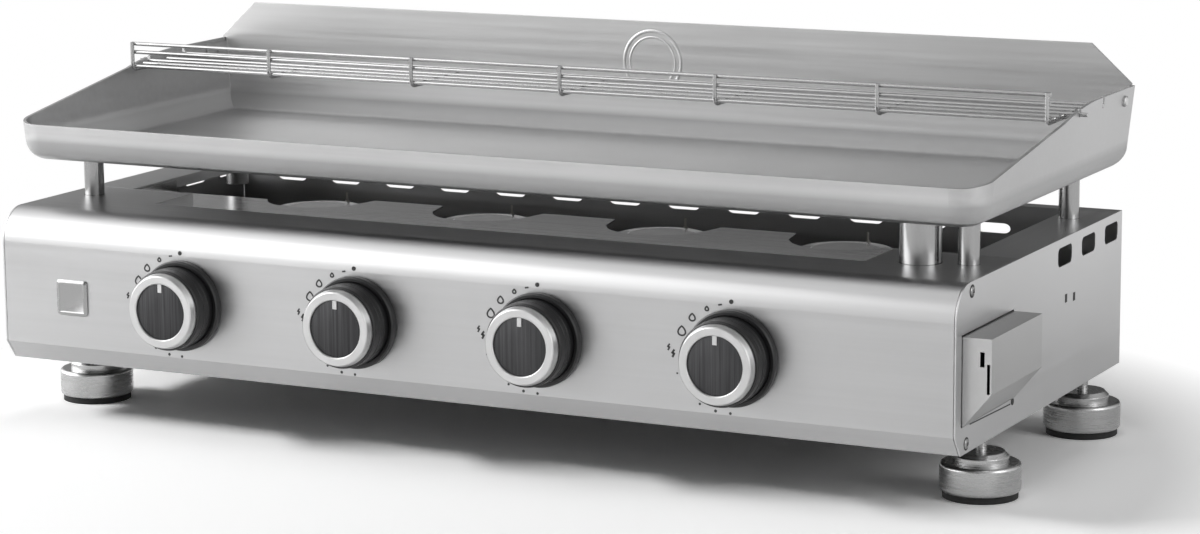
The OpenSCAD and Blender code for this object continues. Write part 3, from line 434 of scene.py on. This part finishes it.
def button_head(r, tall, key, sunk=0.4):
    """Button head: radius r cos t and height tall sin t, for t up to 0.72 of a quarter turn. Then a
    hexagonal hole, key over the cosine of the angle from the nearest flat, a quarter as high."""
    t = np.linspace(0, np.pi / 2 * 0.72, 6)
    rows = [turned([(r, -sunk), (r, 0.0)]), turned(np.stack([r * np.cos(t), tall * np.sin(t)], 1))]
    a = np.linspace(0, 2 * np.pi, 24, endpoint=False)
    hexagon = key / np.cos((a + np.pi / 6) % (np.pi / 3) - np.pi / 6)
    for h in (tall * 0.93, tall * 0.25):
        rows.append(np.stack([hexagon * np.cos(a), hexagon * np.sin(a), h + 0 * a], -1)[None])
    return np.concatenate(rows)


def on_side(points, side, y, z):
    """Local (across, up, out) points put on a side panel's face."""
    return np.stack([side * (SIDE + points[..., 2]), y + points[..., 0], z + points[..., 1]], -1)


def ribbon(path, width, low, high, closed=False):
    """Flat strip of one width that follows a path: at each point the strip's edges lie half the
    width to both sides along the path's normal, at the heights low and high."""
    path = np.asarray(path, float)
    if closed:
        along = np.roll(path, -1, 0) - np.roll(path, 1, 0)
    else:
        along = np.gradient(path, axis=0)
    along /= np.linalg.norm(along, axis=1, keepdims=True)
    normal = np.stack([-along[:, 1], along[:, 0]], 1) * width / 2
    left, right = path + normal, path - normal
    lift = np.ones((len(path), 1))
    return np.stack([np.hstack([left, lift * high]), np.hstack([right, lift * high]),
                     np.hstack([right, lift * low]), np.hstack([left, lift * low])], 1)


screw_steel = steel("screw_steel", grey(0.30), 0.3, stretch=ALL_WAYS, depth=0.03)
# Near-black patches for dimples, lances, slits and holes: painted shade in place of hollows and
# openings.
painted_gap_shade = steel("painted_gap_shade", grey(0.05), 0.5, stretch=ALL_WAYS, depth=0.03)
upright = np.linspace((0, -LANCE_HALF), (0, LANCE_HALF), 7)
lance = ribbon(upright, LANCE_WIDE, -SUNK, LANCE_OUT)
side_head = button_head(*SIDE_HEAD)
dimple = turned([(DIMPLE_R, -SUNK), (DIMPLE_R, DIMPLE_OUT), (DIMPLE_IN, DIMPLE_OUT)])
heads, marks = [], []
for side in (-1, 1):
    for y, z in SCREWS:
        heads.append(surface(on_side(side_head, side, y, z), close_v=True, cap=True))
        marks.append(surface(on_side(dimple, side, y, z), close_v=True, cap=True))
    for y, z in LANCES:
        marks.append(surface(on_side(lance, side, y, z), close_v=True, cap=True))
slit = ribbon(np.linspace(SLIT_FROM, SLIT_TO, 12), SLIT_WIDE, -SUNK, SLIT_OUT)
drain = turned([(DRAIN_R, -SUNK), (DRAIN_R, DRAIN_OUT)])
marks.append(surface(on_side(slit, 1, 0, 0), close_v=True, cap=True))
marks.append(surface(on_side(drain, 1, *DRAIN_AT), close_v=True, cap=True))
add(mesh_of("side_screws", heads), screw_steel, "housing")
add(mesh_of("side_recess_shade", marks), painted_gap_shade, "housing", smooth=False)

# Screws and slots of the top flanges.
# One small steel button-head screw near the front holds each side panel's top flange down. Two
# short slots are pierced through the flange at each rear corner, drawn as near-black strips a tenth
# of a millimetre proud: painted shade in place of the openings.
TOP = 160.0
FLANGE_SCREW = (364.0, -49.0)
FLANGE_HEAD = (3.0, 1.1, 1.2)
FLANGE_SLOTS = ((353.5, 161.0), (368.5, 163.5))
FLANGE_SLOT_HALF, FLANGE_SLOT_WIDE, FLANGE_SLOT_OUT = 4.0, 3.0, 0.1
flange_head = button_head(*FLANGE_HEAD) + (*FLANGE_SCREW, TOP)
across = np.linspace((-FLANGE_SLOT_HALF, 0), (FLANGE_SLOT_HALF, 0), 7)
flange_slot = ribbon(across, FLANGE_SLOT_WIDE, -SUNK, FLANGE_SLOT_OUT)
top_heads, slot_shades = [], []
for side in (-1, 1):
    top_heads.append(surface(flange_head * (side, 1, 1), close_v=True, cap=True))
    for x, y in FLANGE_SLOTS:
        hole = flange_slot + (x, y, TOP)
        slot_shades.append(surface(hole * (side, 1, 1), close_v=True, cap=True))
add(mesh_of("flange_screws", top_heads), screw_steel, "housing")
add(mesh_of("flange_slot_shade", slot_shades), painted_gap_shade, "housing", smooth=False)

# Plate on the front panel.
# A bare square plate of polished steel with a bevelled edge, stuck on at the left. Its face lies a
# little lower than its frame.
FRONT = -167.0
PLATE_AT, PLATE_HALF, PLATE_ROUND = (-318.0, 98.5), 13.5, 3.0
PLATE_STEPS = ((0, -SUNK), (0, 0.9), (0.4, 1.3), (2.2, 2.0), (2.6, 2.0), (3.0, 1.7), (3.2, 1.6))


def on_front(points, x, z, y=FRONT):
    """Local (across, up, out) points put on an upright face that looks forward."""
    return np.stack([x + points[..., 0], y - points[..., 2], z + points[..., 1]], -1)


def rounded_square(half, r, steps=7):
    """Outline of a square with round corners: four quarter circles joined by straight sides."""
    a = np.linspace(0, np.pi / 2, steps)
    quarter = np.stack([half - r + r * np.cos(a), half - r + r * np.sin(a)], 1)
    quarters = []
    for k in range(4):
        cosine, sine = np.cos(k * np.pi / 2), np.sin(k * np.pi / 2)
        quarters.append(quarter @ np.array([[cosine, sine], [-sine, cosine]]))
    return np.vstack(quarters)


rows = []
for inset, out in PLATE_STEPS:
    edge = rounded_square(PLATE_HALF - inset, max(PLATE_ROUND - inset, 0.5))
    rows.append(np.hstack([edge, np.full((len(edge), 1), out)]))
plate = surface(on_front(np.stack(rows), *PLATE_AT), close_v=True, cap=True)
plate_steel = steel("plate_steel", grey(0.36), 0.25, stretch=ALL_WAYS, depth=0.03)
add(mesh_of("bare_plate", [plate]), plate_steel, "housing")

# Burners and gas path.
# Pressed steel burner cups with loose caps stand on the rail, with a white glazed electrode beside
# each. The caps are coloured almost white, painted light in place of the bright rims they show. The
# valves, the manifold behind the front panel and the inlet are brass.
burner_steel = steel("burner_steel", grey(0.30), 0.40, grain=50, stretch=ALL_WAYS, depth=0.05)
# Almost white: painted light for the bright rims of the caps.
cap_painted_bright = steel("cap_painted_bright", grey(0.92), 0.14, grain=50, stretch=ALL_WAYS, depth=0.03, cloud=0.08)
brass = steel("brass", (0.55, 0.46, 0.27), 0.3, grain=50, stretch=ALL_WAYS, depth=0.03)
finish_nodes(burner_steel, *[f"burner_{k}" for k in range(1, 5)])
finish_nodes(cap_painted_bright, "burner_caps")
finish_nodes(brass, "gas_manifold", "gas_inlet", *[f"gas_valve_{k}" for k in range(1, 5)])


def mottled(name, rough, scale, one, other):
    """Material that is no metal: fine noise mixes its two colours."""
    material, graph, links, skin = shader(name)
    skin.inputs["Roughness"].default_value = rough
    speck = node(graph, "ShaderNodeTexNoise", Scale=scale, Detail=2)
    paint = between(graph, one, other)
    links.new(speck.outputs["Fac"], paint.inputs["Factor"])
    links.new(paint.outputs["Result"], skin.inputs["Base Color"])
    return material


glaze = mottled("glazed_ceramic", 0.2, 400, (0.62, 0.60, 0.56), (0.80, 0.78, 0.74))
finish_nodes(glaze, "igniter_electrodes")

# Knobs.
# Moulded black bezels on the panel, and black knobs with two fine ridges, a satin metal ring and a
# dark face plate brushed from top to bottom. Each knob sits on the steel stem of its valve.
KNOBS_X = (-220.5, -73.5, 73.5, 220.5)
KNOB_Z = 101.0
FACE_R, FACE_OUT = 20.3, 28.9
FACE_STEPS = ((0, -SUNK), (0, 0.15), (0.3, 0.25), (16.3, 0.25))
RIDGES_OUT, RIDGE_R, RIDGE_HIGH, RIDGE_HALF = (11.5, 16.5), 29.45, 0.35, 0.8


def plastic(name, colour, rough, grain, depth, spread=0.08, bevel=0.0006):
    """Moulded plastic: fine noise varies the roughness by spread and gives a faint skin."""
    material, graph, links, skin = shader(name)
    skin.inputs["Base Color"].default_value = (*colour, 1)
    at = graph.new("ShaderNodeTexCoord")
    skin_grain = node(graph, "ShaderNodeTexNoise", Scale=grain, Detail=3)
    dull = node(graph, "ShaderNodeMapRange", To_Min=rough - spread, To_Max=rough + spread)
    links.new(at.outputs["Object"], skin_grain.inputs["Vector"])
    links.new(skin_grain.outputs["Fac"], dull.inputs["Value"])
    links.new(dull.outputs["Result"], skin.inputs["Roughness"])
    relief(graph, links, skin, skin_grain.outputs["Fac"], depth, bevel)
    return material


def arc_tube(angles, r, half_across, half_out, sides, lift=0.0):
    """Tube round a circle or an arc of radius r: at each angle its section is an ellipse,
    half_across along the radius and half_out along the third axis, lifted by lift."""
    t = np.linspace(0, 2 * np.pi, sides, endpoint=False)
    across = r + half_across * np.cos(t)[None, :] + 0 * angles[:, None]
    out = lift + half_out * np.sin(t)[None, :] + 0 * angles[:, None]
    return np.stack([across * np.cos(angles)[:, None], across * np.sin(angles)[:, None], out], -1)


black = plastic("black_plastic", (0.012, 0.012, 0.013), 0.36, 900, 0.15)
ring_metal = steel("ring_metal", grey(0.58), 0.34, stretch=ALL_WAYS, depth=0.02)
stem_steel = steel("stem_steel", grey(0.6), 0.3, stretch=ALL_WAYS, depth=0.02)
face_dark = steel("face_dark", grey(0.060, 0.002), 0.45, grain=260, stretch=(3, 1, 0.04), depth=0.3,
                  streak=0.35, cloud=0.10)
disc = turned([(FACE_R - inset, FACE_OUT + out) for inset, out in FACE_STEPS], 64)
full_turn = np.linspace(0, 2 * np.pi, 72, endpoint=False)
for k, x in enumerate(KNOBS_X, 1):
    finish_nodes(black, f"knob_bezel_{k}", f"knob_{k}")
    finish_nodes(ring_metal, f"knob_ring_{k}")
    finish_nodes(stem_steel, f"valve_stem_{k}", f"valve_collar_{k}")
    face = surface(on_front(disc, x, KNOB_Z), close_v=True, cap=True)
    add(mesh_of(f"knob_face_{k}", [face]), face_dark, f"control_{k}")
    ridges = []
    for out in RIDGES_OUT:
        ring = arc_tube(full_turn, RIDGE_R, RIDGE_HIGH, RIDGE_HALF, 8, out)
        ridges.append(surface(on_front(ring, x, KNOB_Z), close_u=True, close_v=True))
    add(mesh_of(f"knob_ridges_{k}", ridges), black, f"control_{k}")

# Scale round each knob.
# Dark grey print on the panel: a dot at the top, a dash, three flames that grow towards the left,
# two small sparks and four dots below. The print stands a tenth of a millimetre proud.
SCALE_R = 38.3
PRINT_LOW, PRINT_HIGH, STROKE = -0.2, 0.1, 1.2
TOP_DOT_R, TOP_DOT_ANGLE, TOP_DOT_OUT = 1.6, 92, 0.0
DASH_TO, DASH_ANGLE, DASH_OUT = (1.4, 0.25), 105, -1.4
# Angle and distance beyond the circle of each mark, then its size and, for a spark, its stroke.
FLAMES = ((121, -0.7, 2.6, 2.8), (140, 1.2, 4.6, 5.0), (158, 2.8, 5.8, 6.4))
SPARKS = ((181, 6.2, 5.4, 1.5), (176, 9.7, 4.6, 1.2))
DOTS = ((199, 5.7, 0.7), (234, 3.8, 0.9), (251, 1.7, 1.1), (267, 0.3, 1.0))


def flame(wide, tall):
    """Drop outline: across is 0.6 wide times sin t times sin(t / 2) to the power 0.8, up is half
    the height times cos t, with t over a full turn."""
    t = np.linspace(0, 2 * np.pi, 28, endpoint=False)
    return np.stack([wide * 0.60 * np.sin(t) * np.sin(t / 2) ** 0.8, tall * 0.5 * np.cos(t)], 1)


def bolt(tall):
    """Zigzag stroke of a spark: straight lines through four corners at shares of its height."""
    corners = np.array([(0.16, 0.5), (-0.2, 0.02), (0.16, 0.02), (-0.14, -0.5)]) * tall
    t = np.linspace(0, 3, 13)
    return np.stack([np.interp(t, range(4), corners[:, 0]), np.interp(t, range(4), corners[:, 1])], 1)


def spot(r):
    """Flat dot with an upright edge."""
    return turned([(r, PRINT_LOW), (r, PRINT_HIGH)], 16)


def scale_marks(x):
    """All marks of one knob: each lies at its angle, out millimetres beyond the scale's circle."""
    made = []

    def put(points, angle, out, **ends):
        a = math.radians(angle)
        centre = (x + (SCALE_R + out) * math.cos(a), KNOB_Z + (SCALE_R + out) * math.sin(a))
        made.append(surface(on_front(points, *centre), close_v=True, **ends))

    put(spot(TOP_DOT_R), TOP_DOT_ANGLE, TOP_DOT_OUT, cap=True)
    dash = np.linspace(-np.array(DASH_TO), DASH_TO, 5)
    put(ribbon(dash, STROKE, PRINT_LOW, PRINT_HIGH), DASH_ANGLE, DASH_OUT, cap=True)
    for angle, out, wide, tall in FLAMES:
        put(ribbon(flame(wide, tall), STROKE, PRINT_LOW, PRINT_HIGH, True), angle, out, close_u=True)
    for angle, out, tall, stroke in SPARKS:
        put(ribbon(bolt(tall), stroke, PRINT_LOW, PRINT_HIGH), angle, out, cap=True)
    for angle, out, r in DOTS:
        put(spot(r), angle, out, cap=True)
    return made


ink = mottled("scale_print", 0.55, 1500, grey(0.02), grey(0.06))
for k, x in enumerate(KNOBS_X, 1):
    add(mesh_of(f"knob_scale_{k}", scale_marks(x)), ink, "housing", smooth=False)

# Griddle tray.
# Stainless tray pressed from 2.5 mm sheet, brushed along its length and duller in its bends. The
# posts and the drain tube are welded on underneath, each post with a fine bead round its foot.
PLATE_LOW = 194.0
# Heights in metres where the bends' dull band fades in and out, and how much rougher it is.
DULL_BENDS = ((0.1966, 0.1985), (0.209, 0.215), 0.45)
POST_X, POSTS_Y, POST_R = 355.5, (-81.0, 120.0), 7.5
BEAD, BEAD_INTO_POST = 2.0, 0.5
tray_steel = steel("tray_steel", grey(0.515, 0.002), 0.43, depth=0.12, streak=0.05, cloud=0.05,
                   dull_band=DULL_BENDS)
post_steel = steel("post_steel", grey(0.35), 0.2, stretch=ALONG_Z, depth=0.05)
weld_steel = steel("weld_steel", grey(0.42), 0.35, grain=300, stretch=ALL_WAYS, depth=0.4, cloud=0.1)
finish_nodes(tray_steel, "griddle_plate")
finish_nodes(post_steel, "griddle_posts", "grease_tube")
t = np.linspace(0, np.pi / 2, 7)
outer, inner = POST_R + BEAD, POST_R - BEAD_INTO_POST
hollow = np.stack([outer - BEAD * np.sin(t), PLATE_LOW - BEAD + BEAD * np.cos(t)], 1)
profile = np.vstack([[(inner, PLATE_LOW + SUNK), (outer, PLATE_LOW + SUNK)], hollow,
                     [(inner, PLATE_LOW - BEAD)]])
beads = [surface(turned(profile, 32) + (side * POST_X, y, 0), close_v=True, close_u=True)
         for side in (-1, 1) for y in POSTS_Y]
add(mesh_of("post_weld_beads", beads), weld_steel, "griddle")

# Splash guard.
# Brushed sheet screwed between the tray's side walls. A plain double ring is pressed into it
# just right of the middle.
GUARD_FACE = 156.3
# Height where both rings are cut off, just above the guard's lower edge.
RINGS_LOW = 237.6
RING_AT, RINGS, RING_RELIEF = (4.0, 252.5), ((24.2, 1.3), (19.4, 0.9)), 0.18
guard_steel = steel("guard_steel", grey(0.57), 0.33, streak=0.04, cloud=0.05)
finish_nodes(guard_steel, "splash_guard", "guard_screws")
rings = []
for r, thick in RINGS:
    low = math.asin((RINGS_LOW + thick - RING_AT[1]) / r)
    tube = arc_tube(np.linspace(low, math.pi - low, 90), r, thick, RING_RELIEF * thick, 10)
    rings.append(surface(on_front(tube, *RING_AT, y=GUARD_FACE), close_v=True, cap=True))
add(mesh_of("guard_rings", rings), guard_steel, "griddle")

# Warming rack.
# Bright drawn wire, spot-welded where the rods and the guard rails cross the bent wires, with a
# small flattened bead at each weld.
CROSS_X = np.linspace(-377.6, 377.6, 7)
ROD_Y, ROD_Z = 10.3 + 16.6 * np.arange(6), 246.7
RAIL_Y, RAILS_Z = 9.0, (259.0, 265.5)
# Half sizes of a weld bead, an ellipsoid whose poles are cut off flat at the angle POLE.
WELD_HALF, POLE = (1.9, 1.9, 1.0), 0.12
wire = steel("wire", grey(0.42), 0.22, grain=200, depth=0.02)
finish_nodes(wire, "warming_rack")
welds = [(x, y, ROD_Z) for x in CROSS_X for y in ROD_Y]
welds += [(x, RAIL_Y, z) for x in CROSS_X for z in RAILS_Z]
t = np.linspace(POLE, np.pi - POLE, 5)
bead = turned(np.stack([np.sin(t), np.cos(t)], 1), 8) * WELD_HALF
wire_beads = [surface(bead + at, close_v=True, cap=True) for at in np.array(welds)]
add(mesh_of("rack_weld_beads", wire_beads), wire, "rack")

# Grease drawer.
# Folded steel tray with a folded front, brushed from front to back. It slides on two rails
# inside the housing.
drawer_steel = steel("drawer_steel", grey(0.51), 0.34, stretch=ALONG_Y)
finish_nodes(drawer_steel, "grease_drawer", "drawer_front")

# Feet.
# Turned metal pads with a stepped top and rubber soles, screwed into the pan on threaded studs.
# The thread is one fine ridge that winds up each stud.
FOOT_X, FRONT_Y, REAR_Y = 363.4, -75.5, 133.0
FEET = {"front_left": (-FOOT_X, FRONT_Y), "front_right": (FOOT_X, FRONT_Y),
        "rear_left": (-FOOT_X, REAR_Y), "rear_right": (FOOT_X, REAR_Y)}
THREAD_LOW, THREAD_HIGH, PITCH = 32.8, 46.2, 1.25
THREAD_ROOT, THREAD_CREST, THREAD_HALF = 3.8, 4.35, 0.5
foot_metal = steel("foot_metal", grey(0.47), 0.28, grain=120, stretch=(0.3, 0.3, 6), bevel=0.0008)
sole_rubber = plastic("sole_rubber", grey(0.02), 0.8, 300, 0.3)
# The ridge climbs by one pitch in each full turn. Its section is a flat triangle: root, crest, root.
turns = (THREAD_HIGH - THREAD_LOW) / PITCH
a = np.linspace(0, 2 * np.pi * turns, int(turns * 20))
climb = THREAD_LOW + PITCH * a / (2 * np.pi)
r = np.array([THREAD_ROOT, THREAD_CREST, THREAD_ROOT])
dz = np.array([-THREAD_HALF, 0.0, THREAD_HALF])
ridge = np.stack([r * np.cos(a)[:, None], r * np.sin(a)[:, None], climb[:, None] + dz], -1)
for corner, (x, y) in FEET.items():
    finish_nodes(foot_metal, f"{corner}_foot")
    finish_nodes(sole_rubber, f"{corner}_sole")
    thread = surface(ridge + (x, y, 0), close_v=True, cap=True)
    add(mesh_of(f"{corner}_thread", [thread]), foot_metal, corner)
